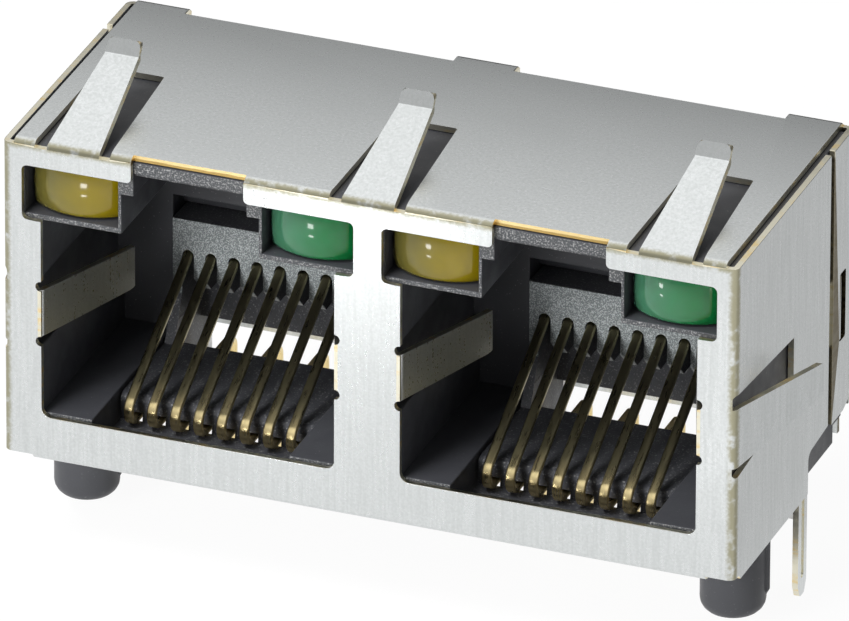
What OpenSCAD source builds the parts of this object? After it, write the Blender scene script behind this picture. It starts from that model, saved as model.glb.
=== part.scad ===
// Dual shielded right-angle board jack, latch side up, with signal lamps.
// Frame: x across the ports, y from the mating face to the back, z up from the board.
// The origin is on the board, midway between the two locating pegs.

/* [Body] */
// Width over the side panels of the shield
body_w = 31.8; // [29:0.1:42]
// Height of the shield's top above the board
body_h = 14.55; // [14:0.05:18]
// Depth from the mating face to the back of the rear panel
body_d = 13.85; // [13.6:0.05:18]

/* [Sheet metal] */
// Thickness of the shield's sheet
sheet_t = 0.25; // [0.15:0.01:0.32]
// Inside radius of the folds
fold_r = 0.1; // [0.05:0.01:0.2]
// Slit between the top plate and each side panel
slit = 0.25; // [0.1:0.01:0.3]
// Length of the flap folded under the housing
flap_l = 2.6; // [1:0.1:2.9]
// Height of the rear panel's lower edge above the board
rear_sill = 0.3; // [0.1:0.05:2]

/* [Ports] */
// Number of ports
ports = 2; // [1:1:2]
// Distance between the ports' centres
port_pitch = 15.65; // [15.2:0.05:20]
// Width of a port opening in the shield
port_w = 12.8; // [12.2:0.1:13.2]
// Height of the port's lower edge above the board
port_sill = 2.05; // [1.8:0.05:2.3]
// Width of the latch notch in the front plate
notch_w = 4.9; // [4.2:0.1:5.6]
// Depth of the plug cavity behind the mating face
cavity_d = 9.3; // [8.5:0.1:10]

/* [Lamps] */
// Distance from a port's centre to a lamp's centre
lamp_x = 5.17; // [5:0.01:5.6]
// Width of a lamp body
lamp_w = 3.96; // [3.2:0.02:4]
// Height of a lamp body
lamp_h = 2.1; // [1.6:0.1:2.3]
// Length of a lamp body
lamp_l = 4.6; // [3:0.1:5]
// Radius of the lamp's bowed front
lamp_r = 2.9; // [2.2:0.1:6]
// Distance between the two leads of a lamp
lead_pitch = 2; // [1.6:0.01:2.8]
// Side of a lamp's square lead
lead_t = 0.45; // [0.3:0.05:0.5]

/* [Contacts] */
// Distance between neighbouring contacts
contact_pitch = 1.016; // [0.9:0.002:1.05]
// Width of a contact
contact_w = 0.4; // [0.3:0.02:0.5]
// Thickness of a contact
contact_t = 0.25; // [0.18:0.01:0.3]
// Rise of the sprung stretch towards the comb, in degrees
contact_rise = 29.5; // [26:0.5:32]
// Length of the tails below the board's top face
tail_l = 3.3; // [2.5:0.1:4]
// Distance from the mating face to the first row of tails
tail_row = 8.9; // [8.8:0.1:9.2]
// Distance between the two rows of tails
row_pitch = 2.54; // [2:0.01:3]

/* [Board pegs and pins] */
// Distance between the two locating pegs
peg_span = 28.3; // [26:0.05:28.8]
// Distance from the mating face to the pegs
peg_y = 4.75; // [4.4:0.05:6]
// Radius of a peg between its ribs
peg_r = 1.365; // [1:0.005:1.4]
// Length of a peg below the board's top face
peg_l = 3.62; // [2.5:0.01:5]
// Distance from the mating face to the ground pins
pin_y = 8.15; // [7.6:0.05:9]
// Width of a ground pin
pin_w = 1; // [0.7:0.05:1.2]
// Length of a ground pin below the board's top face
pin_l = 4.35; // [2.5:0.05:5]

/* [Springs] */
// Angle of a top finger above the top plate, in degrees
finger_rise = 19; // [8:1:24]
// Length of a top finger's slope
finger_l = 5.4; // [4:0.1:6]
// Width of a top finger at its root
finger_w = 2.28; // [1.8:0.02:2.4]
// Width of a top finger at its tip
finger_tip = 1.46; // [1.2:0.02:1.8]
// Distance from the side of the shield to the outer fingers' centres
finger_inset = 3.1; // [2.9:0.1:3.4]
// Height of the side springs' centres above the board
spring_z = 6.74; // [5.7:0.02:7.7]
// Angle of the outer side fingers, in degrees
side_splay = 13; // [5:1:18]
// Angle of the inner port springs, in degrees
port_splay = 20.5; // [6:0.5:21]

/* [Hidden] */
$fn = 48;
eps = 0.02;
arc_steps = 5;
fit_gap = 0.05;              // clearance between seated pieces
cut = 1;                     // overshoot of a cutting shape
fold_o = fold_r + sheet_t;   // outside radius of a fold
half_w = body_w / 2;
in_w = half_w - sheet_t;     // inner face of a side panel
in_top = body_h - sheet_t;   // underside of the top plate
in_back = body_d - sheet_t;  // inner face of the rear panel
top_x = in_w - slit;         // edge of the top plate
side_top = body_h - 0.2;     // upper edge of a side panel
corner_z = 0.25;             // lower edge of the front plate's corners
side_d = body_d - 2.8;       // rear edge of a side panel
flap_gap = 0.41;             // gap between a side panel and the rear flap
flap_sill = 1.83;            // lower edge of the rear panel's side flaps
flap_x = half_w - 1.25;      // end of the bottom flap
heel_z = 1.8;                // raised lower edge behind the ground pin
heel_rise = 5;               // slope of that edge, in degrees
bridge_x = 1.33;             // half width of the middle bridge of the rear fold
bridge_in = half_w - 2.8;    // inner edge of an outer bridge
plate_cut = 0.7;             // setback of the top plate between the bridges

// front plate openings, measured from the port's centre and the shield's top
lamp_win_x = 7.22;
lamp_win_top = body_h - 1.12;
lamp_win_low = body_h - 3.58;
port_xs = [for (p = [1:ports]) (p - (ports + 1) / 2) * port_pitch];

// top fingers: windows and positions
finger_xs = [-half_w + finger_inset, 0, half_w - finger_inset];
finger_relief = 0.54;
win_l = finger_l * cos(finger_rise) + 2.3;
crest_z = body_h + finger_l * sin(finger_rise);
lip_turn = 40;
lip_l = 0.64;
lip_h = 0.58;

// side fingers
side_root = 2.47;
side_tip = 1.45;
side_l = 6.35;
side_extra = 0.2;     // width added below the finger's centre line
side_relief = 0.66;
relief_y = 0.05;      // front end of the reliefs, in the fold
side_taper = 0.55;
side_win_l = side_l * cos(side_splay) + 0.62;

// inner port springs
port_root = 2.1;
port_tip = 1.9;
port_spring_l = 5.45;
notch_r = 0.22;

// catch tongue behind the rear flap
tongue_z0 = 5.1;
tongue_z1 = 8.5;
tongue_jog = 18;
hook_y = side_d + 1.35;

// housing
house_x = in_w - fit_gap;
house_y0 = sheet_t + fit_gap;
back_room = 0.15;                  // free space before the rear panel
house_y1 = in_back - back_room;
house_top = in_top - fit_gap;
belly_z = 0.45;                    // underside, clear above the bottom flap
cavity_x = port_w / 2 + fit_gap;   // half width of the plug cavity
floor_z = port_sill + 0.1;         // floor the plug slides on
spring_room_x = cavity_x + 0.3;
spring_room_h = port_root + 1;
catch_d = 2;                       // depth of the latch catches
pad_r = 1.9;                       // stand-off pads round the pegs
peg_root = belly_z + 0.5;          // upper end of a peg inside the housing
step_y = body_d - 1.35;            // step in the underside at the back
step_x = half_w - 3;
step_z = 1.25;
shelf_z = lamp_win_low - 0.08;     // underside of the lamp shelf
pocket_z0 = lamp_win_low + 0.17;
pocket_z1 = pocket_z0 + lamp_h + 0.25;
channel_z = pocket_z0 + 0.8;       // floor of the lead channels
pocket_x = lamp_w / 2 + fit_gap;
thin_wall = 0.16;                  // walls between a pocket and the latch passage
pass_x = lamp_x - pocket_x - thin_wall;
roof_z = house_top - 0.65;
lintel = 0.16;                     // flat part of the roof's front edge
catch_z = roof_z - 0.92;
bay_x = 4.3;                       // half width of the carrier's bay
bay_top = 7.35;
loft_h = 0.85;                     // recess above the comb
loft_d = 1.2;
bay_y = 2.1;
well_z = 1;                        // bottom of the recess in front of the contacts
lead_y = body_d - 1.3;             // drop of the lamp leads
slot_w = lead_t + 0.15;

// contact carrier
carrier_x = bay_x - fit_gap;
cheek_t = 0.45;
comb_y = 9.05;
comb_d = 2.35;
comb_top = bay_top - fit_gap;
comb_low = 3.9;
nose_y = 3.3;
deck_y = 8.5;
deck_z0 = belly_z;
deck_z1 = 1.95;
comb_nose = 4.6;                   // lower edge of the comb's front face
apron_z = 1.8;                     // lower edge of the carrier's rear wall
groove_w = contact_w + 0.12;
cheek_y1 = lead_y - lead_t / 2 - 0.3;

// contact: height of the lower run and the front bend
run_z = 1;
bend_y = 3.05;
bend_r = 0.45;
bend_rc = bend_r + contact_t / 2;
rise_l = 8.3;
tail_r = 0.3;

// ---------------------------------------------------------------- outlines

function unit(v) = v / norm(v);
function side_of(a) = [-sin(a), cos(a)];
function turn_between(a, b) = let (d = b - a) d > 180 ? d - 360 : d < -180 ? d + 360 : d;

// Polygon from corners [x, y, radius], each corner rounded by its own radius.
function rounded(pts) = [
    for (i = [0:len(pts) - 1])
        let (
            n = len(pts),
            p = [pts[i][0], pts[i][1]],
            a = pts[(i + n - 1) % n],
            b = pts[(i + 1) % n],
            r = pts[i][2],
            u = unit([a[0], a[1]] - p),
            v = unit([b[0], b[1]] - p),
            half = acos(u * v) / 2,
            c = p + unit(u + v) * r / sin(half),
            s = p + u * r / tan(half) - c,
            e = p + v * r / tan(half) - c,
            a0 = atan2(s[1], s[0]),
            sweep = turn_between(a0, atan2(e[1], e[0]))
        )
        each r == 0 ? [p] : [for (k = [0:arc_steps]) let (q = a0 + sweep * k / arc_steps)
            c + r * [cos(q), sin(q)]]
];

function box_pts(x0, x1, y0, y1, r = 0) = [[x0, y0, r], [x1, y0, r], [x1, y1, r], [x0, y1, r]];

// Stations [point, heading] along a bent strip's middle line.
// Each leg is [straight length, turn after it, inside radius of the turn].
function stations(legs, t, p, a, i = 0) =
    i == len(legs) ? [] :
    let (
        leg = legs[i],
        q = p + leg[0] * [cos(a), sin(a)],
        s = sign(leg[1]),
        rc = leg[2] + t / 2,
        c = q + s * rc * side_of(a),
        steps = max(1, ceil(abs(leg[1]) / 15)),
        turned = leg[1] == 0 ? [] : [for (k = [1:steps]) let (h = a + leg[1] * k / steps)
            [c - s * rc * side_of(h), h]],
        last = leg[1] == 0 ? [q, a] : turned[len(turned) - 1]
    )
    concat(i == 0 ? [[p, a]] : [], leg[0] > 0 ? [[q, a]] : [], turned,
        stations(legs, t, last[0], last[1], i + 1));

// Closed outline of the strip with thickness t.
function strip(legs, t, p, a) =
    let (s = stations(legs, t, p, a))
    concat(
        [for (m = s) m[0] + t / 2 * side_of(m[1])],
        [for (k = [len(s) - 1:-1:0]) s[k][0] - t / 2 * side_of(s[k][1])]
    );

// Outline in (y, z), drawn out along x.
module along_x(x0, x1) translate([x0, 0, 0]) rotate([90, 0, 90]) linear_extrude(x1 - x0) children();
// Outline in (x, z), drawn out along y.
module along_y(y0, y1) translate([0, y1, 0]) rotate([90, 0, 0]) linear_extrude(y1 - y0) children();
// Outline in (x, y), drawn out along z.
module along_z(z0, z1) translate([0, 0, z0]) linear_extrude(z1 - z0) children();
module block(x0, x1, y0, y1, z0, z1) translate([x0, y0, z0]) cube([x1 - x0, y1 - y0, z1 - z0]);
module both_sides() {
    children();
    mirror([1, 0, 0]) children();
}
// Puts a piece built from the mating face into the jack's own frame.
module seated() translate([0, -peg_y, 0]) children();

// ---------------------------------------------------------------- shield

// Bottom flap, front plate, top plate and rear panel as one wrapped strip.
module wrap_over() {
    legs = [
        [flap_l - fold_o, -90, fold_r],
        [body_h - 2 * fold_o, -90, fold_r],
        [body_d - 2 * fold_o, -90, fold_r],
        [body_h - rear_sill - fold_o, 0, 0]
    ];
    along_x(-top_x, top_x) polygon(strip(legs, sheet_t, [flap_l, sheet_t / 2], 180));
}

// Front plate with the two side panels folded back from it.
module wrap_round() {
    heel_y = pin_y + pin_w / 2 + 0.1;
    legs = [
        [side_d - fold_o, 90, fold_r],
        [body_w - 2 * fold_o, 90, fold_r],
        [side_d - fold_o, 0, 0]
    ];
    intersection() {
        along_z(0, side_top)
            polygon(strip(legs, sheet_t, [-half_w + sheet_t / 2, side_d], 270));
        along_x(-half_w - cut, half_w + cut) polygon(rounded([
            [-cut, corner_z, 0], [0.6, corner_z, 0], [0.8, 0, 0], [heel_y, 0, 0],
            [heel_y, heel_z, 0.38],
            [side_d + cut, heel_z + (side_d + cut - heel_y) * tan(heel_rise), 0],
            [side_d + cut, side_top, 0], [-cut, side_top, 0]
        ]));
    }
}

// Side flaps folded forward from the rear panel.
module wrap_back() {
    start = side_d + flap_gap;
    legs = [
        [body_d - start - fold_o, -90, fold_r],
        [body_w - 2 * fold_o, -90, fold_r],
        [body_d - start - fold_o, 0, 0]
    ];
    difference() {
        along_z(flap_sill, side_top)
            polygon(strip(legs, sheet_t, [-half_w + sheet_t / 2, start], 90));
        // sloped lower rear corners of the flaps
        along_x(-half_w - cut, half_w + cut) polygon([
            [body_d - 1, flap_sill - cut], [body_d - 1, flap_sill],
            [body_d - fold_o, flap_sill + 0.25], [body_d - fold_o, flap_sill - cut]
        ]);
        // windows for the catch hooks
        along_x(-half_w - cut, half_w + cut)
            polygon(rounded(box_pts(hook_y - 0.15, hook_y + 0.55, tongue_z0 + 0.15,
                tongue_z1 - 0.15, 0.12)));
    }
}

// Opening of one port in the front plate: plug, lamp windows and latch notch.
module port_cut() {
    w = port_w / 2;
    n = notch_w / 2;
    half = [
        [w, port_sill, 0.42], [w, lamp_win_low, 0], [lamp_win_x, lamp_win_low, 0.25],
        [lamp_win_x, lamp_win_top, 0.25], [n, lamp_win_top, 0.2], [n, body_h + cut, 0]
    ];
    mirrored = [for (k = [len(half) - 1:-1:0]) [-half[k][0], half[k][1], half[k][2]]];
    along_y(-cut, sheet_t + 0.12) polygon(rounded(concat(half, mirrored)));
    // relief notches at the inner springs' roots
    both_sides() for (s = [-1, 1])
        translate([w + eps, -cut, spring_z + s * (port_root / 2 + notch_r - eps)])
            rotate([-90, 0, 0]) cylinder(r = notch_r, h = cut + sheet_t + 0.12);
}

// Window behind a top finger: it starts in the fold, as relief slots beside the finger.
module finger_cut() {
    front = finger_w / 2 + finger_relief;
    along_z(in_top - eps, body_h + cut) polygon(rounded([
        [-front, -cut, 0], [front, -cut, 0], [finger_tip / 2 + 0.33, win_l, 0.12],
        [-front, win_l, 0.12]
    ]));
}

// Top finger: leaves the front plate over a slack fold, rises and ends in a turned-up lip.
module finger() {
    root = 0.9;
    legs = [
        [root - fold_o, finger_rise - 90, fold_r],
        [finger_l, lip_turn, 0.1],
        [lip_l, 0, 0]
    ];
    intersection() {
        along_x(-finger_w / 2, finger_w / 2)
            polygon(strip(legs, sheet_t, [sheet_t / 2, body_h - root], 90));
        along_y(-cut, win_l + cut) polygon(rounded([
            [-finger_w / 2, body_h - root, 0], [finger_w / 2, body_h - root, 0],
            [finger_w / 2, body_h - 0.1, 0], [finger_tip / 2, crest_z, 0],
            [finger_tip / 2, crest_z + lip_h, 0.3], [-finger_tip / 2, crest_z + lip_h, 0.3],
            [-finger_tip / 2, crest_z, 0], [-finger_w / 2, body_h - 0.1, 0]
        ]));
    }
}

// Window behind an outer side finger, right side: it starts in the fold.
module side_finger_cut() {
    front = side_root / 2 + side_relief;
    rear = front - side_taper;
    along_x(half_w - fold_o, half_w + cut) polygon(rounded([
        [relief_y, spring_z - front, 0.18], [side_win_l, spring_z - rear, 0.1],
        [side_win_l, spring_z + rear, 0.1], [relief_y, spring_z + front, 0.18]
    ]));
}

// Outer side finger, right side: bent less than the panel, so it stands outwards.
module side_finger() {
    root = 0.9;
    legs = [[root - fold_o, 90 - side_splay, fold_r], [side_l, 0, 0]];
    reach = side_l * cos(side_splay) + fold_o;
    low = spring_z - side_root / 2 - side_extra;
    high = spring_z + side_root / 2;
    tip = spring_z - side_extra / 2;
    intersection() {
        along_z(low, high) polygon(strip(legs, sheet_t, [half_w - root, sheet_t / 2], 0));
        along_x(half_w - root, half_w + cut + side_l) polygon(rounded([
            [-cut, low, 0], [0.3, low, 0], [reach, tip - side_tip / 2, 0.25],
            [reach, tip + side_tip / 2, 0.25], [0.3, high, 0], [-cut, high, 0]
        ]));
    }
}

// Inner spring at the right edge of a port, leaning into the port.
module port_spring() {
    edge = port_w / 2;
    root = 0.8;
    legs = [[root - fold_o, port_splay - 90, fold_r], [port_spring_l, 0, 0]];
    reach = port_spring_l * cos(port_splay);
    intersection() {
        along_z(spring_z - port_root / 2, spring_z + port_root / 2)
            polygon(strip(legs, sheet_t, [edge + root - fold_o + 0.25, sheet_t / 2], 180));
        along_x(0, edge + root + cut) polygon(rounded([
            [-cut, spring_z - port_root / 2, 0], [0.3, spring_z - port_root / 2, 0],
            [reach + fold_o, spring_z - port_tip / 2, 0.4],
            [reach + fold_o, spring_z + port_tip / 2, 0.08],
            [0.3, spring_z + port_root / 2, 0], [-cut, spring_z + port_root / 2, 0]
        ]));
    }
}

// Ground pin below the right side panel, with a coined groove and a rounded end.
module ground_pin() {
    w = pin_w / 2;
    difference() {
        along_x(in_w, half_w) polygon(rounded([
            [pin_y - w, 0.4, 0], [pin_y - w, -pin_l + 0.55, 0.3], [pin_y - w / 2, -pin_l, 0.2],
            [pin_y + w / 2, -pin_l, 0.2], [pin_y + w, -pin_l + 0.55, 0.3], [pin_y + w, 0.4, 0]
        ]));
        along_x(half_w - 0.08, half_w + cut)
            polygon(rounded(box_pts(pin_y - 0.16, pin_y + 0.16, -pin_l + 0.8, 0.2, 0.15)));
    }
}

// Tongue that runs inside the rear flap and hooks out through its window, right side.
module catch_tongue() {
    jog_l = 0.55;
    y0 = side_d - 0.6;
    legs = [
        [0.2, tongue_jog, 0.2],
        [jog_l, -tongue_jog, 0.2],
        [hook_y - side_d - 0.65, -90, 0.08],
        [0.12, 0, 0]
    ];
    along_z(tongue_z0 + 0.25, tongue_z1 - 0.25)
        polygon(strip(legs, sheet_t, [half_w - sheet_t / 2, y0], 90));
}

module shield() color("lightsteelblue") seated() {
    difference() {
        union() {
            wrap_over();
            wrap_round();
            wrap_back();
        }
        for (x = port_xs) translate([x, 0, 0]) port_cut();
        for (x = finger_xs) translate([x, 0, 0]) finger_cut();
        both_sides() side_finger_cut();
        // ends of the bottom flap
        both_sides() block(flap_x, in_w - eps, -cut, flap_l + cut, -cut, corner_z);
        // the top plate joins the rear panel only at three bridges
        both_sides() block(bridge_x, bridge_in, body_d - plate_cut, body_d + cut,
            body_h - plate_cut, body_h + cut);
    }
    for (x = finger_xs) translate([x, 0, 0]) finger();
    both_sides() {
        side_finger();
        ground_pin();
        catch_tongue();
    }
    for (x = port_xs) translate([x, 0, 0]) both_sides() port_spring();
}

// ---------------------------------------------------------------- housing

// Locating peg with a rounded end and two crush ribs.
module peg() {
    peg_round = 0.6;
    rib_r = 0.24;
    rib_taper = 0.35;
    rib_l = peg_l - peg_round - rib_taper - 0.1;
    rotate_extrude() polygon(rounded([
        [0, peg_root, 0], [peg_r, peg_root, 0], [peg_r, -peg_l, peg_round], [0, -peg_l, 0]
    ]));
    for (a = [10, 166]) rotate([0, 0, a]) translate([peg_r + 0.15 - rib_r, 0, -rib_l]) {
        cylinder(r = rib_r, h = rib_l + 0.1);
        translate([0, 0, -rib_taper]) cylinder(r1 = 0.06, r2 = rib_r, h = rib_taper);
    }
}

// Everything taken out of the housing for one port.
module port_hollow() {
    // plug cavity, with room at its sides for the port springs
    block(-cavity_x, cavity_x, 0, cavity_d, floor_z, shelf_z);
    block(-spring_room_x, spring_room_x, 0, cavity_d,
        spring_z - spring_room_h / 2, spring_z + spring_room_h / 2);
    // latch passage behind and between the catches
    block(-pass_x, pass_x, 0, cavity_d, shelf_z - eps, catch_z);
    block(-pass_x, pass_x, catch_d, cavity_d, catch_z - eps, roof_z);
    along_x(-notch_w / 2, notch_w / 2) polygon([
        [0, catch_z - eps], [catch_d + eps, catch_z - eps], [catch_d + eps, roof_z],
        [house_y0 + lintel, roof_z], [house_y0 + lintel, roof_z + fit_gap],
        [0, roof_z + fit_gap + 0.2]
    ]);
    // recess in front of the contacts
    block(-bay_x, bay_x, 0, bay_y + eps, well_z, floor_z + eps);
    // bay for the contact carrier, open below and behind
    block(-bay_x, bay_x, bay_y, body_d, -cut, bay_top);
    block(-bay_x, bay_x, cavity_d - eps, cavity_d + loft_d, bay_top - eps, bay_top + loft_h);
    // lamp pockets, lead channels behind them and lead drops down the back
    for (s = [-1, 1]) translate([s * lamp_x, 0, 0]) {
        block(-pocket_x, pocket_x, 0, house_y0 + lamp_l + 0.1, pocket_z0, pocket_z1);
        for (k = [-1, 1]) translate([k * lead_pitch / 2, 0, 0]) {
            block(-slot_w / 2, slot_w / 2, house_y0 + lamp_l, body_d, channel_z, pocket_z1);
            block(-slot_w / 2, slot_w / 2, lead_y - 0.3, body_d, -cut, pocket_z1);
        }
    }
}

module housing() color([0.12, 0.12, 0.13]) seated() {
    difference() {
        block(-house_x, house_x, house_y0, house_y1, belly_z, house_top);
        for (x = port_xs) translate([x, 0, 0]) port_hollow();
        both_sides() {
            // room for the catch tongue
            block(house_x - sheet_t - 0.15, half_w, side_d - 0.75, body_d,
                tongue_z0 - 0.1, tongue_z1 + 0.1);
            // step in the underside at the back of the side wall
            block(step_x, half_w, step_y, body_d, -cut, step_z);
        }
    }
    for (s = [-1, 1]) translate([s * peg_span / 2, peg_y, 0]) peg();
    // pads that stand on the board round the pegs
    intersection() {
        both_sides() translate([peg_span / 2, peg_y, 0]) cylinder(r = pad_r, h = belly_z + 0.1);
        block(-house_x, house_x, house_y0, house_y1, 0, belly_z + 0.1);
    }
}

// ---------------------------------------------------------------- carrier and contacts

function contact_x(k) = (k - 4.5) * contact_pitch;

module contact_carrier(p) color([0.2, 0.2, 0.21]) seated() translate([port_xs[p - 1], 0, 0]) {
    inner = carrier_x - cheek_t;
    slot_y1 = comb_y + 1.6;
    difference() {
        union() {
            // grooved deck
            along_x(-carrier_x, carrier_x) polygon(rounded([
                [nose_y, deck_z0, 0], [deck_y, deck_z0, 0], [deck_y, deck_z1, 0],
                [nose_y, deck_z1, 0.35]
            ]));
            // toe below the contacts' front bends
            block(-carrier_x, carrier_x, bay_y + fit_gap, nose_y + eps, deck_z0,
                run_z - contact_t / 2 - fit_gap);
            // cheeks that join the deck to the comb
            both_sides() along_x(inner, carrier_x) polygon([
                [nose_y + 0.5, deck_z0], [cheek_y1, deck_z0], [cheek_y1, comb_low],
                [comb_y + comb_d, comb_top], [comb_y, comb_top], [comb_y, comb_low],
                [deck_y - 0.4, deck_z1], [nose_y + 0.5, deck_z1]
            ]);
            // rear wall behind the tails' bends
            block(-carrier_x, carrier_x, comb_y + comb_d - 0.2, cheek_y1, apron_z, comb_low + 0.5);
            // comb, undercut below the contacts' entry
            along_x(-carrier_x, carrier_x) polygon([
                [comb_y, comb_nose], [comb_y + comb_nose - comb_low, comb_low],
                [comb_y + comb_d, comb_low], [comb_y + comb_d, comb_top], [comb_y, comb_top]
            ]);
        }
        for (k = [1:8]) translate([contact_x(k), 0, 0]) {
            block(-groove_w / 2, groove_w / 2, nose_y, deck_y + cut, deck_z0 - cut,
                run_z + contact_t / 2 + fit_gap);
            along_x(-groove_w / 2, groove_w / 2) polygon([
                [comb_y - cut, comb_low - cut], [slot_y1, comb_low - cut],
                [slot_y1, rise_z(slot_y1)], [comb_y - cut, rise_z(comb_y - cut)]
            ]);
            translate([0, comb_y - cut, rise_z(comb_y - cut)]) rotate([contact_rise - 90, 0, 0])
                cylinder(r = groove_w / 2, h = (slot_y1 - comb_y + cut) / cos(contact_rise));
        }
    }
}

// Height of the sprung stretch's middle line at depth y.
function rise_z(y) = run_z + bend_rc * (1 + cos(contact_rise))
    + (y - bend_y + bend_rc * sin(contact_rise)) * tan(contact_rise);

module contact(p, k) color("goldenrod") seated()
translate([port_xs[p - 1] + contact_x(k), 0, 0]) {
    row_y = tail_row + (k % 2 == 0 ? row_pitch : 0);
    tail_rc = tail_r + contact_t / 2;
    legs = [
        [tail_l + run_z - tail_rc, 90, tail_r],
        [row_y - tail_rc - bend_y, contact_rise - 180, bend_r],
        [rise_l, 0, 0]
    ];
    along_x(-contact_w / 2, contact_w / 2)
        polygon(strip(legs, contact_t, [row_y, -tail_l], 90));
}

// ---------------------------------------------------------------- lamps

function lamp_side(c) = c == "yellow" ? -1 : 1;
function lamp_z() = pocket_z0 + fit_gap + lamp_h / 2;

module lamp(p, c) color(c == "yellow" ? "gold" : "limegreen") seated()
translate([port_xs[p - 1] + lamp_side(c) * lamp_x, house_y0, 0]) {
    w = lamp_w / 2;
    half = asin(w / lamp_r);
    face = [for (k = [0:12]) let (a = -90 - half + 2 * half * k / 12)
        [lamp_r * cos(a), lamp_r + lamp_r * sin(a)]];
    along_z(lamp_z() - lamp_h / 2, lamp_z() + lamp_h / 2)
        polygon(concat(face, [[w, lamp_l], [-w, lamp_l]]));
}

module lamp_lead(p, c, s) color("silver") seated()
translate([port_xs[p - 1] + lamp_side(c) * lamp_x + (s == "left" ? -1 : 1) * lead_pitch / 2, 0, 0]) {
    legs = [
        [lead_y - house_y0 - lamp_l - 0.2 - lead_t / 2, -90, 0.2],
        [lamp_z() - 0.2 - lead_t / 2 + tail_l, 0, 0]
    ];
    along_x(-lead_t / 2, lead_t / 2)
        polygon(strip(legs, lead_t, [house_y0 + lamp_l, lamp_z()], 0));
}

// ---------------------------------------------------------------- the jack

shield();
housing();
for (p = [1:ports]) {
    contact_carrier(p);
    for (k = [1:8]) contact(p, k);
    for (c = ["yellow", "green"]) {
        lamp(p, c);
        for (s = ["left", "right"])
            lamp_lead(p, c, s);
    }
}
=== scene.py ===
"""Dual shielded board jack with four signal lamps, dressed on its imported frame.

The frame gives every size. Lengths in the classes below are in millimetres, and
a mesh is turned to metres when it is made.
"""

from __future__ import annotations

import logging
import math
from dataclasses import dataclass
from enum import Enum
from functools import cached_property
from typing import Callable, Sequence

import bmesh
import bpy
from bmesh.types import BMesh, BMFace, BMVert
from bpy.types import ID, Material, Mesh, Node, NodeSocket, NodeTree, Object
from mathutils import Matrix, Vector
from mathutils.bvhtree import BVHTree


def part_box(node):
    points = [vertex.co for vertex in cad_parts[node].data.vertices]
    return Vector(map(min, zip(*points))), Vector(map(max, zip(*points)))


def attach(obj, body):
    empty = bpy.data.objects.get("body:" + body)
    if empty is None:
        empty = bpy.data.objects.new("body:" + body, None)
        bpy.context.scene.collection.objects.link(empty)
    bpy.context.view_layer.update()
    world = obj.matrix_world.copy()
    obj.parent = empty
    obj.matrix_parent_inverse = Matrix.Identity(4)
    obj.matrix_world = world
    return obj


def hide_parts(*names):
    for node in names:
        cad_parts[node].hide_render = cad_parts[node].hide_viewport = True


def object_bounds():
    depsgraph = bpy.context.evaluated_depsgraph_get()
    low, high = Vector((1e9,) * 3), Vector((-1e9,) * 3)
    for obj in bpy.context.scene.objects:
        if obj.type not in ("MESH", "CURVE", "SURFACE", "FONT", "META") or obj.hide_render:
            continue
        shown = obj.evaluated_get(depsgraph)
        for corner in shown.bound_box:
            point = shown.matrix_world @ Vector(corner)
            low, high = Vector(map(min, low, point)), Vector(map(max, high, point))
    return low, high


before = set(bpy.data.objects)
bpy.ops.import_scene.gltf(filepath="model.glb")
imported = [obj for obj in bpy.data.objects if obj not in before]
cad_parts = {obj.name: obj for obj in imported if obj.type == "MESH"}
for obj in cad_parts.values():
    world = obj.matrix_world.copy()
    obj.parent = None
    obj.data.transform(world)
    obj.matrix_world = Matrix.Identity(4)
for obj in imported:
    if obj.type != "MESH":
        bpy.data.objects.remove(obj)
CAD_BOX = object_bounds()

MM = 0.001
MERGE = 0.0005 * MM  # points nearer than this are one
FLAT = math.radians(0.6)  # triangles within this angle make one flat face
COPLANAR = 0.99995  # least cosine between faces of one flat region
CREASE = math.radians(50)  # edges sharper than this shade as edges
NOISE_SPAN = (0.3, 0.7)  # the values that a noise mostly keeps to
RISE = (0.0, 1.0)
FALL = (1.0, 0.0)
WHITE = (1.0, 1.0, 1.0)
BODY = "root"
log = logging.getLogger("board_jack")

Colour = tuple[float, float, float]
Point = tuple[float, float, float]
Span = tuple[float, float]
FaceRule = Callable[[BMFace], int]


class Slot(Enum):
    """The record's material slots."""

    SHEET = "tin_plate"
    HOUSING = "black_plastic"
    CARRIER = "carrier_plastic"
    CONTACT = "gold_plate"
    YELLOW = "yellow_lens"
    GREEN = "green_lens"
    LEAD = "lead_wire"


class Lamp(Enum):
    """The two lamps of a port, by their names in the frame."""

    YELLOW = "yellow"
    GREEN = "green"


class Row(Enum):
    """The two rows of tails, by the first contact of each."""

    NEAR = 1
    FAR = 2


# ---------------------------------------------------------------- node trees


@dataclass(frozen=True)
class Noise:
    """A noise: cells in a millimetre, octaves, and factors under 1 where it runs long."""

    scale: float
    detail: float = 2.0
    stretch: Point | None = None


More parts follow.
